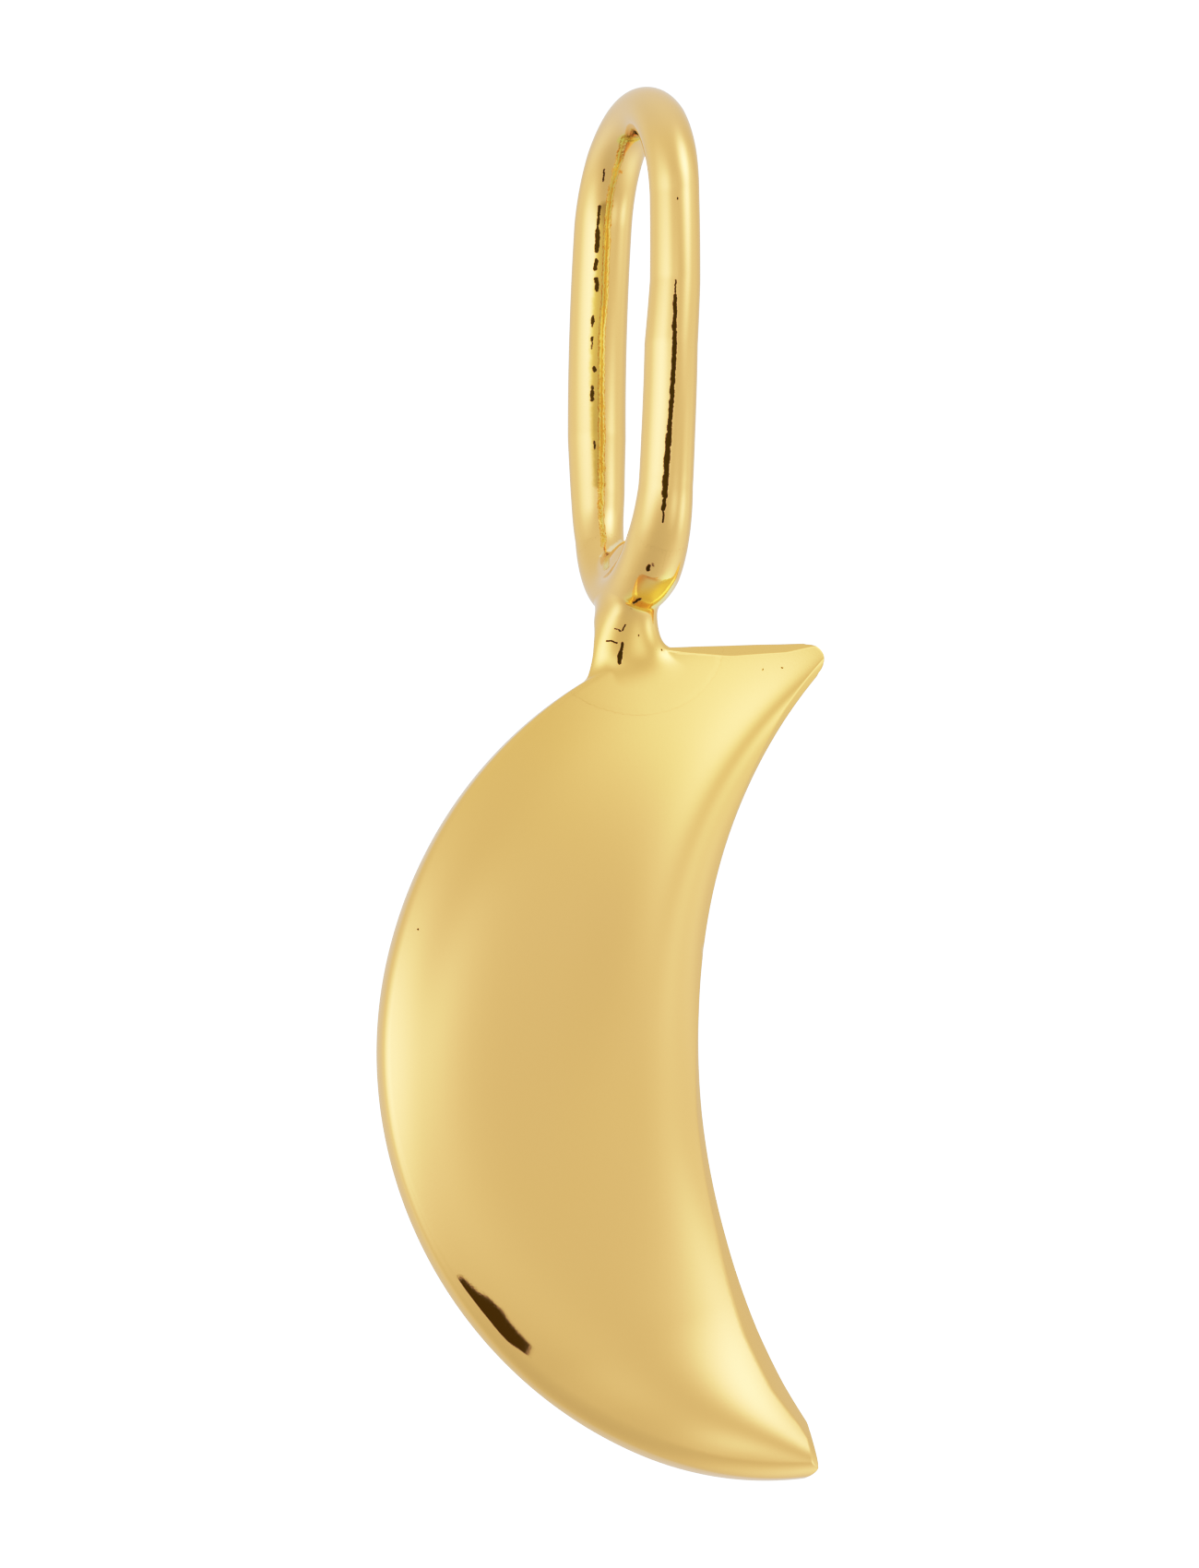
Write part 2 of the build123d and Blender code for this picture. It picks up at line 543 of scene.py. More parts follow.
    @staticmethod
    def _inside(start: Pair, end: Pair, across: np.ndarray, height: np.ndarray) -> np.ndarray:
        """Distance of points to the right of a straight edge, seen along it, and below zero to its left."""
        run = (Vector(end) - Vector(start)).normalized()
        return run.y * (across - start[0]) - run.x * (height - start[1])

    @staticmethod
    def _roll(depth: np.ndarray, radius: np.ndarray | float) -> np.ndarray:
        """How far the face falls back at a depth inside an edge that is rounded to a radius."""
        short = np.clip(radius - depth, 0, radius)
        return radius - np.sqrt(radius**2 - short**2)

    def _press(self, piece: Piece) -> None:
        """Presses the front sheet into its dome with rolled edges.

        Args:
            piece: The flat body with front, walls and back.
        """
        places = Bench.points(piece)
        front = places[:, 1] < 0
        across, height = places[:, 0], places[:, 2]
        edges = (
            self.outer.measure(across, height)[0],
            self.inner.measure(across, height)[0],
            self._below_top(across, height),
            self._toe_depth(across, height),
        )
        fall = self._roll(np.maximum(np.min(edges, axis=0), 0), self.back_roll)
        places[:, 1] -= np.where(front, self.lift(across, height), fall)
        start, end = self.outer.top, self.inner.top
        share = np.clip((across - start[0]) / (end[0] - start[0]), 0, 1)
        arch = self.top_arch * np.sin(math.pi * share)
        places[:, 2] += arch * np.exp(-np.maximum(edges[2], 0) / self.top_fade)
        Bench.put(piece, places)

    def _round_points(self, piece: Piece) -> None:
        """Rounds the two points of the outline.

        Args:
            piece: The pressed body.
        """
        places = Bench.points(piece)
        ends = (self.inner.top, self.outer.top, self.outer.foot, self.inner.foot)
        upper, shoulder, lower, toe = (Vector(end) for end in ends)
        top, foot = self.inner.arcs[0], self.outer.arcs[-1]
        corners = (
            (upper, shoulder - upper, top.heading(top.first), self.upper_tip_radius),
            (lower, toe - lower, -foot.heading(foot.last), self.lower_tip_radius),
        )
        for corner, one, other, radius in corners:
            inward = (one.normalized() + other.normalized()).normalized()
            half = one.angle(other) / 2
            reach = radius / math.sin(half)
            centre = corner + inward * reach
            right, up = places[:, 0] - centre.x, places[:, 2] - centre.y
            away = np.hypot(right, up)
            ahead = -(right * inward.x + up * inward.y)
            near = (away > radius) & (away < self.corner_reach * reach) & (ahead > math.sin(half) * away)
            share = np.where(near, radius / np.maximum(away, TINY), 1)
            places[:, 0] = centre.x + right * share
            places[:, 2] = centre.y + up * share
        Bench.put(piece, places)


@dataclass
class WireLoop:
    """Upright oval of round wire that a chain passes through from left to right."""

    wire_diameter: float = 0.85
    height: float = 8.41
    depth: float = 4.66
    side_bow: float = 0.145
    lean: float = 1.1
    rounds: int = 48
    ring_step: float = 0.055

    # How the hand-made wire strays, by height: shift to the right, and swelling. The two strands pass into
    # each other over this depth on both sides of the middle
    strand_blend: float = 0.8
    near_strays: Route = (
        (0.85, 0.0, -0.045), (0.3, 0.0, -0.015), (-0.4, 0.012, -0.02), (-1.2, 0.022, -0.036),
        (-2.6, 0.015, -0.030), (-3.6, -0.036, -0.008), (-5.0, -0.030, -0.004), (-5.8, -0.02, 0.0),
        (-6.5, -0.005, 0.05), (-7.1, 0.02, 0.08), (-7.6, 0.01, 0.04),
    )
    far_strays: Route = (
        (0.85, 0.0, -0.045), (0.3, 0.0, -0.010), (0.0, 0.0, 0.01), (-1.0, -0.010, 0.028),
        (-4.4, -0.004, 0.032), (-5.3, 0.0, 0.0), (-6.1, -0.01, -0.045), (-6.8, -0.04, -0.04),
        (-7.6, -0.03, 0.02),
    )

    @property
    def bottom(self) -> float:
        """Height of the lowest point of the leaning loop, whose inside top is at the origin."""
        return (self.wire_diameter - self.height) * math.cos(math.radians(self.lean))

    def build(self) -> Piece:
        """Bends the wire round its oval.

        Returns:
            The closed ring, in millimetres.
        """
        half, side = (self.height - self.wire_diameter) / 2, (self.depth - self.wire_diameter) / 2
        middle = self.wire_diameter / 2 - half
        end_radius = side - self.side_bow
        straight = half - end_radius
        side_radius = (straight**2 + side**2 - end_radius**2) / (2 * self.side_bow)
        side_angle = math.asin(straight / (side_radius - end_radius))
        start = on_circle((0, middle + straight), end_radius, math.degrees(side_angle))
        Bench.clear()
        bpy.ops.mesh.primitive_circle_add(
            vertices=self.rounds,
            radius=self.wire_diameter / 2,
            location=(0, start[0], start[1]),
            rotation=(side_angle, 0, 0),
        )
        piece = bpy.context.object
        Bench.settle(piece)
        Bench.edit(piece)
        for turn in (1, -1):
            self._bend((0, 0, middle + turn * straight), end_radius, math.pi - 2 * side_angle)
            self._bend((0, turn * (side_radius - side), middle), side_radius, 2 * side_angle)
        bpy.ops.mesh.select_all(action="SELECT")
        bpy.ops.mesh.remove_doubles(threshold=TINY)
        Bench.close()
        self._stray(piece)
        piece.rotation_euler.y = math.radians(self.lean)
        Bench.settle(piece)
        return piece

    def _bend(self, centre: Triple, radius: float, angle: float) -> None:
        """Bends the open end of the wire round an arc, given by its middle, its radius and its turn."""
        steps = max(2, round(radius * angle / self.ring_step))
        bpy.ops.mesh.spin(steps=steps, angle=angle, center=centre, axis=(-1, 0, 0))

    def _stray(self, piece: Piece) -> None:
        """Gives both strands the small bends and swellings of hand work.

        Args:
            piece: The even ring.
        """
        places, normals = Bench.points(piece), Bench.read(piece.data.vertex_normals, "vector")
        near = smooth_step(self.strand_blend, -self.strand_blend, places[:, 1])
        for strays, share in ((self.near_strays, near), (self.far_strays, 1 - near)):
            heights, shifts, swellings = np.array(strays)[::-1].T
            places[:, 0] += share * np.interp(places[:, 2], heights, shifts)
            swelling = share * np.interp(places[:, 2], heights, swellings)
            places += normals * swelling[:, None]
        Bench.put(piece, places)


@dataclass(frozen=True)
class Ring:
    """One level of the neck: drop below the loop, middle to the right and to the back, and half sizes."""

    drop: float
    right: float
    back: float
    half_width: float
    half_depth: float


@dataclass
class Neck:
    """Short stub between the loop and the crescent, which flares into both."""

    sides: int = 16
    smoothing: int = 3
    rings: tuple[Ring, ...] = (
        Ring(-1.26, -0.11, 0.05, 0.27, 1.15),
        Ring(-0.80, -0.12, 0.10, 0.35, 1.25),
        Ring(-0.38, -0.16, 0.14, 0.41, 1.04),
        Ring(-0.10, -0.205, 0.12, 0.48, 0.76),
        Ring(0.10, -0.21, 0.05, 0.52, 0.56),
        Ring(0.26, -0.20, 0.01, 0.53, 0.46),
        Ring(0.44, -0.165, 0.0, 0.61, 0.38),
        Ring(0.64, -0.085, 0.0, 0.71, 0.31),
        Ring(0.89, -0.04, 0.0, 0.845, 0.22),
        Ring(1.24, 0.03, 0.0, 0.96, 0.12),
    )

    def build(self, loop_bottom: float) -> Piece:
        """Draws the stub down from the loop.

        Args:
            loop_bottom: Height of the lowest point of the loop.

        Returns:
            The closed stub, in millimetres.
        """
        Bench.clear()
        first = self.rings[0]
        place = (first.right, first.back, loop_bottom - first.drop)
        bpy.ops.mesh.primitive_circle_add(vertices=self.sides, radius=1, fill_type="NGON", location=place)
        piece = bpy.context.object
        Bench.settle(piece)
        Bench.edit(piece)
        before = Ring(first.drop, first.right, first.back, 1.0, 1.0)
        for ring in self.rings:
            if ring is not first:
                move = (ring.right - before.right, ring.back - before.back, before.drop - ring.drop)
                bpy.ops.mesh.extrude_region_move(TRANSFORM_OT_translate={"value": move})
            middle = (ring.right, ring.back, loop_bottom - ring.drop)
            grow = (ring.half_width / before.half_width, ring.half_depth / before.half_depth, 1)
            bpy.ops.transform.resize(value=grow, center_override=middle)
            before = ring
        Bench.close()
        Bench.modify(piece, "SUBSURF", levels=self.smoothing, render_levels=self.smoothing)
        return piece


class Signal:
    """A value socket that takes part in Python expressions."""

    def __init__(self, graph: "Graph", socket: bpy.types.NodeSocket | None) -> None:
        """Wraps an output socket, or nothing for a node that ends the tree."""
        self.graph = graph
        self.socket = socket

    def _math(self, operation: str, *values: "Signal | float") -> "Signal":
        """Adds a Math node with the values that go into it, in order."""
        return self.graph.node("ShaderNodeMath", {"operation": operation}, dict(enumerate(values)))

    def __add__(self, other: "Signal | float") -> "Signal":
        """Sum."""
        return self._math("ADD", self, other)

    def __sub__(self, other: "Signal | float") -> "Signal":
        """Difference."""
        return self._math("SUBTRACT", self, other)

    def __rsub__(self, other: float) -> "Signal":
        """Difference from a number."""
        return self._math("SUBTRACT", other, self)

    def __mul__(self, other: "Signal | float") -> "Signal":
        """Product."""
        return self._math("MULTIPLY", self, other)

    def __truediv__(self, other: "Signal | float") -> "Signal":
        """Quotient."""
        return self._math("DIVIDE", self, other)

    def __rtruediv__(self, other: float) -> "Signal":
        """Quotient of a number."""
        return self._math("DIVIDE", other, self)

    __radd__ = __add__
    __rmul__ = __mul__

    def exp(self) -> "Signal":
        """Exponential."""
        return self._math("EXPONENT", self)

    def least(self, other: "Signal | float") -> "Signal":
        """The smaller of both."""
        return self._math("MINIMUM", self, other)

    def most(self, other: "Signal | float") -> "Signal":
        """The larger of both."""
        return self._math("MAXIMUM", self, other)

    def step(self, low: float, high: float) -> "Signal":
        """Soft change from 0 at a low value to 1 at a high one."""
        values = {"Value": self, "From Min": low, "From Max": high}
        return self.graph.node("ShaderNodeMapRange", {"interpolation_type": "SMOOTHSTEP"}, values)


@dataclass(frozen=True)
class Noise:
    """Noise: waves to the millimetre, finer layers over them, and how strong each layer is."""

    scale: float
    detail: float
    roughness: float


class Graph:
    """A node tree that is written as expressions."""

    def __init__(self, tree: bpy.types.NodeTree) -> None:
        """Empties the tree of a material or world to write it anew."""
        self.tree = tree
        tree.nodes.clear()

    def node(
        self, kind: str, settings: dict[str, object], values: dict[str | int, object], out: str | int = 0
    ) -> Signal:
        """Adds one node.

        Args:
            kind: Type of the node.
            settings: Its own fields, which are set first.
            values: Numbers, colours or signals for its sockets, by name or number.
            out: Name or number of the output to use.

        Returns:
            The chosen output.
        """
        node = self.tree.nodes.new(kind)
        for name, value in settings.items():
            setattr(node, name, value)
        for name, value in values.items():
            if isinstance(value, Signal):
                self.tree.links.new(value.socket, node.inputs[name])
            else:
                node.inputs[name].default_value = value
        return Signal(self, node.outputs[out] if node.outputs else None)

    def blend(self, share: Signal, first: object, second: object) -> Signal:
        """Mixes a share of the second colour into the first."""
        return self.node("ShaderNodeMix", {"data_type": "RGBA"}, {0: share, 6: first, 7: second}, 2)

    def noise(self, place: Signal, noise: Noise, out: str = "Fac") -> Signal:
        """Noise at a place, as a value, or as a vector where the output is its colour."""
        values = {"Vector": place, "Scale": noise.scale, "Detail": noise.detail, "Roughness": noise.roughness}
        return self.node("ShaderNodeTexNoise", {}, values, out)

    def vector(self, operation: str, first: object, second: object) -> Signal:
        """Adds a Vector Math node.

        Args:
            operation: What the node does.
            first: A vector.
            second: Another vector, or the number that scales the first.

        Returns:
            The vector or value that comes out.
        """
        socket = 3 if operation == "SCALE" else 1
        out = "Value" if operation in ("DOT_PRODUCT", "DISTANCE") else "Vector"
        return self.node("ShaderNodeVectorMath", {"operation": operation}, {0: first, socket: second}, out)

    def away(self, place: Signal, start: Vector, end: Vector) -> Signal:
        """Distance from a straight line between two points.

        Args:
            place: Where to measure.
            start: One end of the line.
            end: Its other end.

        Returns:
            The distance.
        """
        along = end - start
        left = self.vector("SUBTRACT", place, start)
        share = self.vector("DOT_PRODUCT", left, along / along.length_squared).most(0.0).least(1.0)
        return self.vector("DISTANCE", left, self.vector("SCALE", along, share))


@dataclass(frozen=True)
class FlawAndPaintedLight:
    """Stain, seam or group of pits in the skin of the metal, or painted light or a painted reflection laid on
    it.

    Each of its lines is a half width and the places that it runs through, in millimetres. Its edge is the
    shares of that half width where it starts to fade and where it ends. Its ceiling is a bowed line that it
    stays below: how far to the right the bow is lowest, how it bends, and its height there.
    """

    colour: Triple
    lines: tuple[tuple[float, Route], ...]
    edge: Pair = (0.3, 1.0)
    roughness: float = 0.0
    depth: float = 0.0
    underside: bool = False
    ceiling: Triple | None = None


# Flaws of the casting, and painted light. Most of their places were picked in the photograph, and a program
# cast them
# onto the surface. First painted light: a pale patch on the underside of the solder under the near strand,
# which lifts the shade there
UNDER_STRAND_PAINTED_LIGHT = FlawAndPaintedLight(
    colour=(1.0, 1.0, 0.88),
    lines=((0.26, ((-0.21, -1.15, -7.28), (0.08, -1.18, -7.26))),),
    underside=True,
    ceiling=(-0.11, 1.1, -7.21),
)

# Painted light: a pale line along the fold where the solder meets the foot of the far strand, which lifts the
# shade in the fold
FOLD_LIGHT_ROUTE = ((-0.30, 0.90, -6.44), (-0.165, 0.99, -6.335), (-0.04, 1.095, -6.24), (0.12, 1.23, -6.13))
FOLD_PAINTED_LIGHT = FlawAndPaintedLight(colour=(0.95, 0.80, 0.52), lines=((0.06, FOLD_LIGHT_ROUTE),))

# Painted light in the crevice between the near strand and the neck: a paler, yellower colour that makes the
# light bouncing in it look yellow, not dark orange
CREVICE_LIGHT_ROUTE = ((0.13, -1.25, -7.19), (0.04, -1.08, -7.34), (-0.10, -0.80, -7.48), (-0.32, -0.63, -7.49))
CREVICE_PAINTED_LIGHT = FlawAndPaintedLight(colour=(1.0, 0.90, 0.36), lines=((0.28, CREVICE_LIGHT_ROUTE),), roughness=0.05, underside=True)

# Darker band beside the seam inside the loop, and the rough seam
DARK_BAND_ROUTE = (
    (-0.16, 1.21, -0.85), (-0.18, 1.40, -1.90), (-0.23, 1.45, -2.90),
    (-0.225, 1.42, -4.30), (-0.205, 1.33, -5.20),
)
DARK_BAND = FlawAndPaintedLight(colour=(0.60, 0.42, 0.14), lines=((0.13, DARK_BAND_ROUTE),))
SEAM_ROUTE = (
    (-0.05, -0.05, 0.01), (-0.19, 0.18, 0.04), (-0.10, 0.70, -0.20), (-0.10, 1.03, -0.50),
    (-0.10, 1.21, -0.81), (-0.10, 1.35, -1.49), (-0.10, 1.41, -2.18), (-0.145, 1.45, -2.88),
    (-0.15, 1.42, -4.29), (-0.17, 1.36, -5.00), (-0.20, 1.24, -5.75), (-0.205, 1.08, -6.12),
    (-0.48, 0.20, -6.75),
)
SEAM = FlawAndPaintedLight(colour=(0.86, 0.70, 0.24), lines=((0.06, SEAM_ROUTE),), roughness=0.08, depth=0.006)

# Greenish hook inside the top of the loop
HOOK = FlawAndPaintedLight(colour=(0.78, 0.74, 0.24), lines=((0.10, ((-0.03, -0.08, 0.01), (-0.19, 0.18, 0.04))),))

# Pits and cracks: round the neck and on the crescent, then a painted reflection, the dark line down the near
# strand, which swells and thins, and last pits inside the far strand
PITS_AND_PAINTED_REFLECTION = FlawAndPaintedLight(
    colour=(0.12, 0.06, 0.005),
    lines=(
        (0.028, ((-0.325, -1.44, -7.02), (-0.325, -1.41, -7.065))),
        (0.020, ((-0.31, -0.69, -7.455), (-0.27, -0.83, -7.425))),
        (0.024, ((-0.38, -0.315, -8.04), (-0.395, -0.27, -8.17))),
        (0.034, ((-0.395, -0.27, -8.17), (-0.405, -0.24, -8.33))),
        (0.012, ((-0.605, -0.215, -7.995), (-0.46, -0.295, -8.025))),
        (0.013, ((-0.355, -0.425, -7.77), (-0.40, -0.38, -7.84))),
        (0.009, ((-0.505, -0.335, -7.82), (-0.42, -0.37, -7.85))),
        (0.013, ((-0.145, -0.395, -7.905), (-0.145, -0.395, -7.925))),
        (0.009, ((0.13, -0.33, -8.015), (0.19, -0.30, -8.095))),
        (0.008, ((0.27, -0.28, -8.06), (0.28, -0.275, -8.095))),
        (0.014, ((-0.08, -2.16, -1.335), (-0.08, -2.16, -1.35))),
        (0.008, ((1.91, -0.315, -8.315), (1.91, -0.315, -8.33))),
        (0.007, ((2.22, -0.30, -8.27), (2.245, -0.30, -8.275))),
        (0.009, ((-3.715, -0.37, -12.70), (-3.715, -0.37, -12.72))),
        # Painted reflection: the dark line down the near strand, a reflection of something dark painted onto
        # the wire
        (0.013, ((-0.155, -2.27, -2.66), (-0.165, -2.29, -2.90))),
        (0.027, ((-0.165, -2.29, -2.90), (-0.18, -2.31, -3.37))),
        (0.034, ((-0.18, -2.31, -3.37), (-0.195, -2.30, -4.06), (-0.22, -2.26, -4.64))),
        (0.034, ((-0.22, -2.26, -4.64), (-0.245, -2.22, -5.07))),
        (0.042, ((-0.245, -2.22, -5.07), (-0.26, -2.17, -5.49), (-0.27, -2.08, -6.03))),
        (0.029, ((-0.27, -2.08, -6.03), (-0.27, -2.02, -6.22))),
        (0.014, ((-0.27, -2.02, -6.22), (-0.255, -1.95, -6.41))),
        # Pits inside the far strand
        (0.013, ((-0.265, 0.96, -0.305), (-0.24, 1.07, -0.46))),
        (0.020, ((-0.24, 1.28, -0.83), (-0.24, 1.38, -1.20))),
        (0.030, ((-0.24, 1.38, -1.20), (-0.245, 1.40, -1.51))),
        (0.026, ((-0.245, 1.41, -1.66), (-0.255, 1.43, -1.79))),
        (0.028, ((-0.24, 1.43, -1.95), (-0.225, 1.43, -2.13))),
        (0.024, ((-0.28, 1.44, -2.54), (-0.285, 1.44, -2.70))),
        (0.022, ((-0.29, 1.44, -2.86), (-0.29, 1.44, -3.04))),
        (0.028, ((-0.265, 1.44, -3.36), (-0.255, 1.44, -3.39))),
        (0.030, ((-0.285, 1.44, -3.66), (-0.285, 1.44, -3.86))),
        (0.020, ((-0.27, 1.40, -4.54), (-0.265, 1.40, -4.64))),
    ),
    edge=(0.75, 1.25),
    roughness=0.3,
    depth=0.02,
)


@dataclass(frozen=True)
class GoldPlate:
    """High polish yellow gold plating, with the defects of a small casting, painted light in a fold, a
    crevice and under the near strand, and a painted reflection.
    """

    # A program fitted this colour along with the tones of the film
    colour: Triple = (0.90, 0.621, 0.304)
    roughness: float = 0.055

    # Warmer metal on the crescent, between the heights where it fades in and out, and a paler colour at the
    # top of the loop
    warm_colour: Triple = (0.90, 0.621, 0.272)
    warm_heights: Pair = (-13.0, -9.0)
    warm_end: Pair = (-8.0, -7.4)
    warm_share: float = 0.9
    pale_colour: Triple = (0.895, 0.655, 0.375)
    pale_heights: Pair = (-0.5, 0.5)

    # Slow clouds in the colour, and grain in the polish
    cloud: Noise = Noise(0.55, 2.0, 0.5)
    cloud_share: float = 0.5
    grain: Noise = Noise(26.0, 4.0, 0.65)
    grain_roughness: float = 0.03
    grain_depth: float = 0.0004

    # How ragged the defects and the painted light are, how much depth counts, so that each is found though
    # the skin is a little off it, and a distance past every edge, in half widths
    ragged: Noise = Noise(11.0, 3.0, 0.6)
    ragged_reach: float = 0.03
    flatness: float = 0.3
    far: float = 2.0

    # How steeply the metal has to face down for painted light of the underside, and how softly a ceiling ends
    # it
    underside_slope: Pair = (0.60, 0.86)
    ceiling_edge: Pair = (-0.02, 0.03)

    # Defects, painted light and the painted reflection, in the order in which they lie over each other
    flaws_and_painted_light: tuple[FlawAndPaintedLight, ...] = (UNDER_STRAND_PAINTED_LIGHT, FOLD_PAINTED_LIGHT, CREVICE_PAINTED_LIGHT, DARK_BAND, SEAM, HOOK, PITS_AND_PAINTED_REFLECTION)

    def material(self) -> bpy.types.Material:
        """Mixes the finish.

        Returns:
            The material.
        """
        material = bpy.data.materials.new("polished_gold_plate")
        material.use_nodes = True
        graph = Graph(material.node_tree)
        place = graph.vector("SCALE", graph.node("ShaderNodeTexCoord", {}, {}, "Object"), 1 / MM)
        right, height = (graph.node("ShaderNodeSeparateXYZ", {}, {0: place}, axis) for axis in ("X", "Z"))
        facing = graph.node("ShaderNodeNewGeometry", {}, {}, "Normal")
        downward = graph.vector("DOT_PRODUCT", facing, (0, 0, -1)).step(*self.underside_slope)
        flat = graph.vector("MULTIPLY", place, (1, self.flatness, 1))
        swirl = graph.vector("SUBTRACT", graph.noise(place, self.ragged, "Color"), (NOISE_MEAN,) * 3)
        spot = graph.vector("ADD", flat, graph.vector("SCALE", swirl, 2 * self.ragged_reach))
        warm = height.step(*self.warm_heights) * (1 - height.step(*self.warm_end)) * self.warm_share
        warm = warm + (graph.noise(place, self.cloud) - NOISE_MEAN) * self.cloud_share
        colour = graph.blend(warm.most(0.0).least(1.0), (*self.colour, 1), (*self.warm_colour, 1))
        colour = graph.blend(height.step(*self.pale_heights), colour, (*self.pale_colour, 1))
        grain = graph.noise(place, self.grain) - NOISE_MEAN
        rough, relief = self.roughness + grain * self.grain_roughness, grain * self.grain_depth
        for flaw_and_light in self.flaws_and_painted_light:
            mask = self._mask(graph, spot, flaw_and_light)
            if flaw_and_light.underside:
                mask = mask * downward
            if flaw_and_light.ceiling:
                middle, bend, low = flaw_and_light.ceiling
                off = right - middle
                mask = mask * (off * off * bend + low - height).step(*self.ceiling_edge)
            colour = graph.blend(mask, colour, (*flaw_and_light.colour, 1))
            if flaw_and_light.roughness:
                rough = rough + mask * flaw_and_light.roughness
            if flaw_and_light.depth:
                relief = relief - mask * flaw_and_light.depth
        bump = graph.node("ShaderNodeBump", {}, {"Height": relief, "Distance": MM, "Strength": 1.0})
        values = {"Base Color": colour, "Metallic": 1.0, "Roughness": rough, "Normal": bump}
        shader = graph.node("ShaderNodeBsdfPrincipled", {}, values)
        graph.node("ShaderNodeOutputMaterial", {}, {"Surface": shader})
        return material

    def _mask(self, graph: Graph, place: Signal, flaw_and_light: FlawAndPaintedLight) -> Signal:
        """Finds a casting defect, painted light or a painted reflection.

        Args:
            graph: The material's graph.
            place: Place on the surface, in flattened millimetres.
            flaw_and_light: The defect, painted light or painted reflection to find.

        Returns:
            1 in the mark, and 0 on the rest of the metal.
        """
        nearest: Signal | float = self.far
        for half_width, route in flaw_and_light.lines:
            spots = [Vector(spot) * Vector((1, self.flatness, 1)) for spot in route]
            for start, end in zip(spots, spots[1:]):
                nearest = (graph.away(place, start, end) / half_width).least(nearest)
        return 1 - nearest.step(*flaw_and_light.edge)


@dataclass(frozen=True)
class Fold:
    """Fold that the solder fills: its place, its inner and outer reach, and how far it is smoothed."""

    place: Triple
    spread: Pair
    passes: int


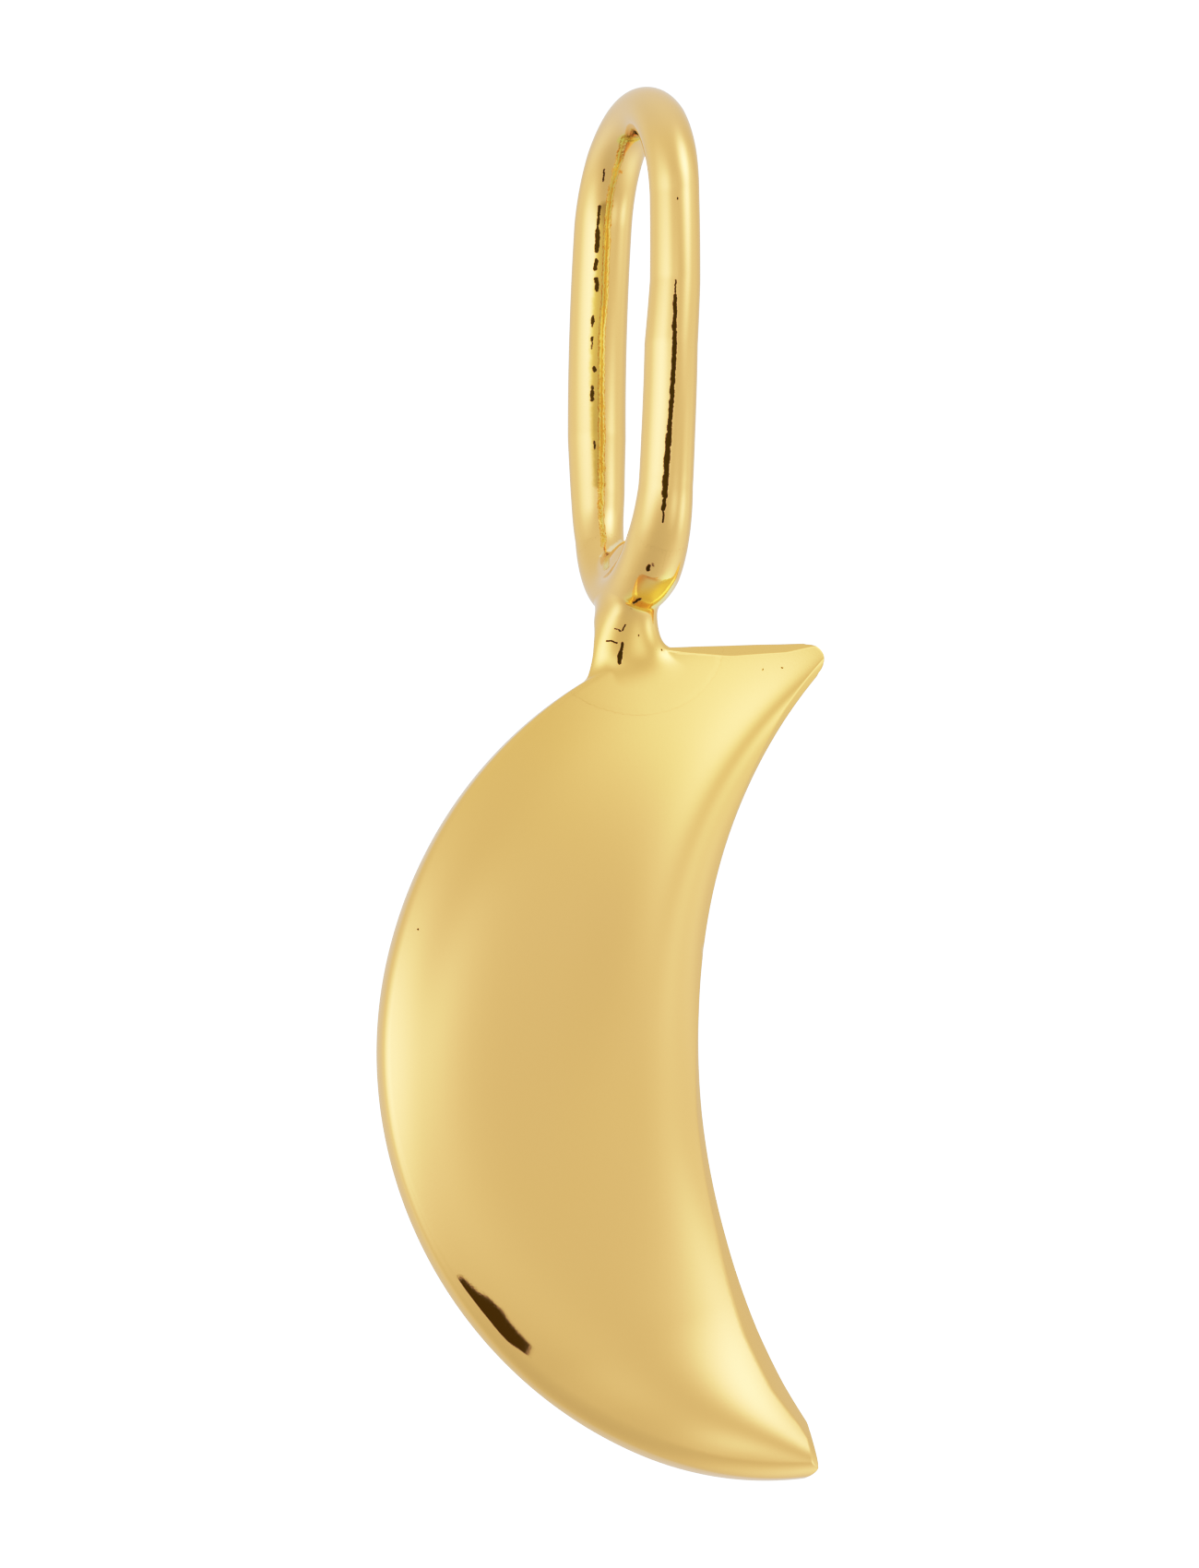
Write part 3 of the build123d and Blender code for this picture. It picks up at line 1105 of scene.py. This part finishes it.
@dataclass
class Solder:
    """Skin of solder that flows from the loop over the neck into the crescent."""

    middle: Triple = (-0.18, 0.0, -7.72)
    grain: float = 0.03
    cut_heights: Pair = (-4.4, -10.4)

    # How much less the distance from the middle counts above it, and the heights between which that starts
    stretch: Triple = (1.0, 0.8, 0.7)
    stretch_heights: Pair = (0.0, 0.6)

    # Strength and passes that smooth the skin: all of it, then its middle, then two folds, each to its reach
    smoothing: float = 0.5
    even_passes: int = 6
    flow_passes: int = 90
    flow: Pair = (0.85, 1.45)
    folds: tuple[Fold, ...] = (
        Fold((-0.05, -0.35, -8.40), (0.35, 0.95), 350),
        Fold((-0.45, 0.70, -6.90), (0.35, 0.95), 250),
    )

    # How the rim of the skin is laid on the pieces and sunk into them before it is cut off
    cover: float = 0.001
    seat: Pair = (1.15, 1.45)
    sink: Pair = (1.40, 2.15)
    sink_depth: float = 0.012
    reach: float = 2.05

    def build(self, crescent: Piece, loop: Piece, neck: Piece) -> Piece:
        """Casts a skin over the joint of the pieces.

        Args:
            crescent: The finished crescent, which is kept.
            loop: The finished loop, which is kept.
            neck: The stub between them, which is used up.

        Returns:
            The skin, in millimetres.
        """
        upper, lower = self.cut_heights
        self._copy_part(crescent, neck, lower, 1)
        self._copy_part(loop, neck, upper, -1)
        Bench.modify(neck, "REMESH", mode="VOXEL", voxel_size=self.grain)
        self._smooth(neck, self.even_passes, "")
        Bench.weigh(neck, "flow", 1 - smooth_step(*self.flow, self._away(neck)))
        self._smooth(neck, self.flow_passes, "flow")
        for number, fold in enumerate(self.folds):
            name = f"fold_{number}"
            off = np.linalg.norm(Bench.points(neck) - np.array(fold.place), axis=1)
            Bench.weigh(neck, name, 1 - smooth_step(*fold.spread, off))
            self._smooth(neck, fold.passes, name)
        for target, side in ((crescent, -1), (loop, 1)):
            Bench.modify(neck, "SHRINKWRAP", target=target, wrap_mode="OUTSIDE", offset=self.cover)
            above = side * (Bench.points(neck)[:, 2] - self.middle[2]) > 0
            Bench.weigh(neck, target.name, above * smooth_step(*self.seat, self._away(neck)))
            seat = {"target": target, "wrap_mode": "ABOVE_SURFACE", "offset": self.cover}
            Bench.modify(neck, "SHRINKWRAP", vertex_group=target.name, **seat)
        Bench.weigh(neck, "sink", smooth_step(*self.sink, self._away(neck)))
        Bench.modify(neck, "DISPLACE", strength=-self.sink_depth, mid_level=0.0, vertex_group="sink")
        self._trim(neck)
        return neck

    def _smooth(self, piece: Piece, passes: int, group: str) -> None:
        """Smooths a vertex group of a piece, or all of it where the group has no name."""
        Bench.modify(piece, "SMOOTH", factor=self.smoothing, iterations=passes, vertex_group=group)

    def _away(self, piece: Piece) -> np.ndarray:
        """Distances of a piece's points from the middle of the joint, less where the loop rises from it.

        Args:
            piece: The piece.

        Returns:
            One distance for each point.
        """
        off = Bench.points(piece) - np.array(self.middle)
        above = smooth_step(*self.stretch_heights, off[:, 2])[:, None]
        return np.linalg.norm(off * (1 - above + above * np.array(self.stretch)), axis=1)

    @staticmethod
    def _copy_part(source: Piece, goal: Piece, height: float, side: int) -> None:
        """Joins a copy of the part of a piece near the joint to another piece.

        Args:
            source: The piece to copy.
            goal: The piece that the copy joins.
            height: Height of the cut.
            side: 1 keeps what is above the cut, and -1 what is below.
        """
        Bench.take(source)
        bpy.ops.object.duplicate()
        part = bpy.context.object
        Bench.edit(part)
        bpy.ops.mesh.bisect(plane_co=(0, 0, height), plane_no=(0, 0, -side), use_fill=True, clear_outer=True)
        bpy.ops.object.mode_set(mode="OBJECT")
        Bench.take(goal)
        part.select_set(True)
        bpy.ops.object.join()

    def _trim(self, piece: Piece) -> None:
        """Cuts off the skin where it lies under the real surfaces, and closes its ends.

        Args:
            piece: The skin.
        """
        away = self._away(piece)
        Bench.edit(piece)
        bpy.ops.mesh.select_all(action="DESELECT")
        bpy.ops.object.mode_set(mode="OBJECT")
        piece.data.vertices.foreach_set("select", away > self.reach)
        bpy.ops.object.mode_set(mode="EDIT")
        bpy.ops.mesh.delete(type="VERT")
        bpy.ops.mesh.select_all(action="DESELECT")
        bpy.ops.mesh.select_non_manifold()
        bpy.ops.mesh.fill_holes(sides=0)
        Bench.close()


@dataclass
class MoonCharm:
    """The whole charm, soldered and polished into one piece of metal."""

    crescent: Crescent = field(default_factory=Crescent)
    loop: WireLoop = field(default_factory=WireLoop)
    neck: Neck = field(default_factory=Neck)
    solder: Solder = field(default_factory=Solder)
    crease_angle: float = 40.0

    def build(self) -> Piece:
        """Makes the sub-assemblies and solders them together.

        Returns:
            The finished charm in metres, at its place in the frame.
        """
        crescent = self._report("crescent", self.crescent.build())
        loop = self._report("loop", self.loop.build())
        neck = self._report("neck", self.neck.build(self.loop.bottom))
        solder = self._report("solder", self.solder.build(crescent, loop, neck))
        Bench.take(crescent)
        loop.select_set(True)
        solder.select_set(True)
        bpy.ops.object.join()
        crescent.scale = (MM, MM, MM)
        Bench.settle(crescent)
        bpy.ops.object.shade_smooth_by_angle(angle=math.radians(self.crease_angle))
        charm = self._report("gold_moon_charm", crescent)
        charm.data.name = charm.name
        return charm

    @staticmethod
    def _report(name: str, piece: Piece) -> Piece:
        """Names a piece and logs its size.

        Args:
            name: Name of the piece.
            piece: The piece.

        Returns:
            The same piece.
        """
        piece.name = name
        log.info("%s: %d points, %d faces", name, len(piece.data.vertices), len(piece.data.polygons))
        return piece


@dataclass(frozen=True)
class Lamp:
    """Soft lamp behind the wall of the tent: direction in degrees, power, and how narrow its glow is."""

    azimuth: float
    elevation: float
    power: float
    focus: float


@dataclass(frozen=True)
class Card:
    """Black card in front of the charm, which the polished crescent mirrors as a dark sliver.

    Its rungs hold the places to the right and the heights of its left and its right edge, from one end
    to the other.
    """

    name: str
    back: float
    rungs: tuple[tuple[Pair, Pair], ...]
    glow: Triple = (0.17, 0.11, 0.02)

    def build(self) -> None:
        """Cuts the card and hides it from all but reflections."""
        Bench.clear()
        bpy.ops.mesh.primitive_grid_add(x_subdivisions=1, y_subdivisions=len(self.rungs) - 1, size=1)
        card = bpy.context.object
        card.name = self.name
        places = [(right, self.back, height) for rung in self.rungs for right, height in rung]
        Bench.put(card, np.array(places) * MM)
        material = bpy.data.materials.new(self.name)
        material.use_nodes = True
        graph = Graph(material.node_tree)
        light = graph.node("ShaderNodeEmission", {}, {"Color": (*self.glow, 1), "Strength": 1.0})
        graph.node("ShaderNodeOutputMaterial", {}, {"Surface": light})
        card.data.materials.append(material)
        card.visible_camera = False
        card.visible_diffuse = False
        card.visible_shadow = False


@dataclass
class Studio:
    """Pale floor, soft light all round and the camera of the photograph."""

    azimuth: float = -18.0
    elevation: float = -10.0
    distance: float = 400.0
    sensor: float = 36.0
    clip_metres: Pair = (0.01, 20.0)

    # Pixels of the photograph to the millimetre, and what its middle shows, to the right and upwards
    photo_scale: float = 69.7
    middle_right: float = -0.62
    middle_up: float = -10.02

    floor_level: float = -160.0
    floor_size: float = 6000.0

    # A program fitted tent_glow, and all lamps but the last, to the brightness in the photograph
    tent_glow: float = 0.992
    paper_glow: float = 2.6
    lamps: tuple[Lamp, ...] = (
        Lamp(-36, 0, 0.50, 30),
        Lamp(-14, 6, 0.38, 30),
        Lamp(45, 25, 0.76, 30),
        Lamp(40, 40, 1.35, 19),
        Lamp(93, -1, 0.25, 30),
        Lamp(24, -20, 0.43, 28),
        Lamp(-133, -5, 0.30, 9),
        Lamp(-54, 8, 0.85, 17),
        Lamp(67, -13, 0.84, 30),
        Lamp(76, 24, 0.22, 30),
        Lamp(-90, -53, -0.11, 2),
        Lamp(30, 89, 0.15, 2),
        Lamp(-80, 1, 0.93, 9),
        Lamp(108, -45, 0.55, 8),
    )

    # A program traced these rungs from the sliver in the photograph, along mirrored rays
    card: Card = Card(
        name="belly_card",
        back=-4.0,
        rungs=(
            ((-5.20, -19.80), (-4.20, -19.10)),
            ((-5.15, -20.15), (-3.90, -19.25)),
            ((-4.80, -20.20), (-3.70, -19.35)),
            ((-4.55, -20.45), (-3.40, -19.35)),
            ((-4.40, -20.85), (-3.15, -19.50)),
            ((-4.45, -21.35), (-3.00, -19.60)),
            ((-4.50, -21.70), (-2.95, -19.80)),
            ((-4.25, -21.90), (-2.85, -19.95)),
            ((-3.20, -21.05), (-2.65, -20.20)),
            ((-2.75, -20.90), (-2.50, -20.40)),
        ),
    )

    # How bright a light looks in the picture: light that reaches the film, and its tone. A program fitted
    # the tones to the photograph's colours, and some were changed
    film: tuple[Pair, ...] = (
        (0.0, 0.0), (0.1, 0.037), (0.25, 0.11), (0.4, 0.23), (0.6, 0.425),
        (0.8, 0.588), (1.0, 0.729), (1.3, 0.85), (1.7, 0.949), (2.2, 1.0),
    )

    def build(self) -> None:
        """Sets up floor, light and camera."""
        self._camera()
        self._floor()
        self.card.build()
        self._light()
        self._tone()

    def _camera(self) -> None:
        """Places a long lens where the photograph's camera stood."""
        right = direction(self.azimuth + 90, 0)
        back = direction(self.azimuth, self.elevation)
        aim = right * self.middle_right + back.cross(right) * self.middle_up
        Bench.clear()
        bpy.ops.object.camera_add(location=(aim + back * self.distance) * MM)
        camera = bpy.context.object
        camera.rotation_euler = (-back).to_track_quat("-Z", "Y").to_euler()
        camera.data.sensor_width = self.sensor
        camera.data.lens = self.sensor * self.distance * self.photo_scale / PHOTO_HEIGHT
        camera.data.clip_start, camera.data.clip_end = self.clip_metres
        bpy.context.scene.camera = camera

    def _floor(self) -> None:
        """Lays the pale floor far below the hanging charm."""
        Bench.clear()
        bpy.ops.mesh.primitive_plane_add(size=self.floor_size * MM, location=(0, 0, self.floor_level * MM))
        floor = bpy.context.object
        floor.name = "studio_floor"
        floor.visible_glossy = False

    def _light(self) -> None:
        """Wraps the charm in a white tent with soft lamps behind its walls."""
        world = bpy.data.worlds.new("tent")
        world.use_nodes = True
        bpy.context.scene.world = world
        graph = Graph(world.node_tree)
        way = graph.node("ShaderNodeTexCoord", {}, {}, "Generated")
        glow: Signal | float = self.tent_glow
        for lamp in self.lamps:
            facing = graph.vector("DOT_PRODUCT", way, direction(lamp.azimuth, lamp.elevation))
            glow = ((facing - 1.0) * lamp.focus).exp() * lamp.power + glow
        tent = graph.node("ShaderNodeBackground", {}, {"Color": (1, 1, 1, 1), "Strength": glow})
        paper = graph.node("ShaderNodeBackground", {}, {"Color": (1, 1, 1, 1), "Strength": self.paper_glow})
        seen = graph.node("ShaderNodeLightPath", {}, {}, "Is Camera Ray")
        mixed = graph.node("ShaderNodeMixShader", {}, {0: seen, 1: tent, 2: paper})
        graph.node("ShaderNodeOutputWorld", {}, {"Surface": mixed})

    def _tone(self) -> None:
        """Gives the picture the contrast of a camera's film curve."""
        view = bpy.context.scene.view_settings
        view.view_transform = "Standard"
        view.use_curve_mapping = True
        mapping = view.curve_mapping
        white = self.film[-1][0]
        mapping.white_level = (white,) * 3
        all_colours = mapping.curves[3]
        all_colours.points[0].location = self.film[0]
        all_colours.points[1].location = (1, self.film[-1][1])
        for light, shown in self.film[1:-1]:
            all_colours.points.new(light / white, shown)
        mapping.update()


def main() -> None:
    """Builds the charm and the studio round it."""
    logging.basicConfig(level=logging.INFO, format="%(name)s %(message)s")
    charm = MoonCharm().build()
    charm.data.materials.clear()
    charm.data.materials.append(GoldPlate().material())
    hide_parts("moon_charm")
    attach(charm, "root")
    Studio().build()


if __name__ == "__main__":
    main()
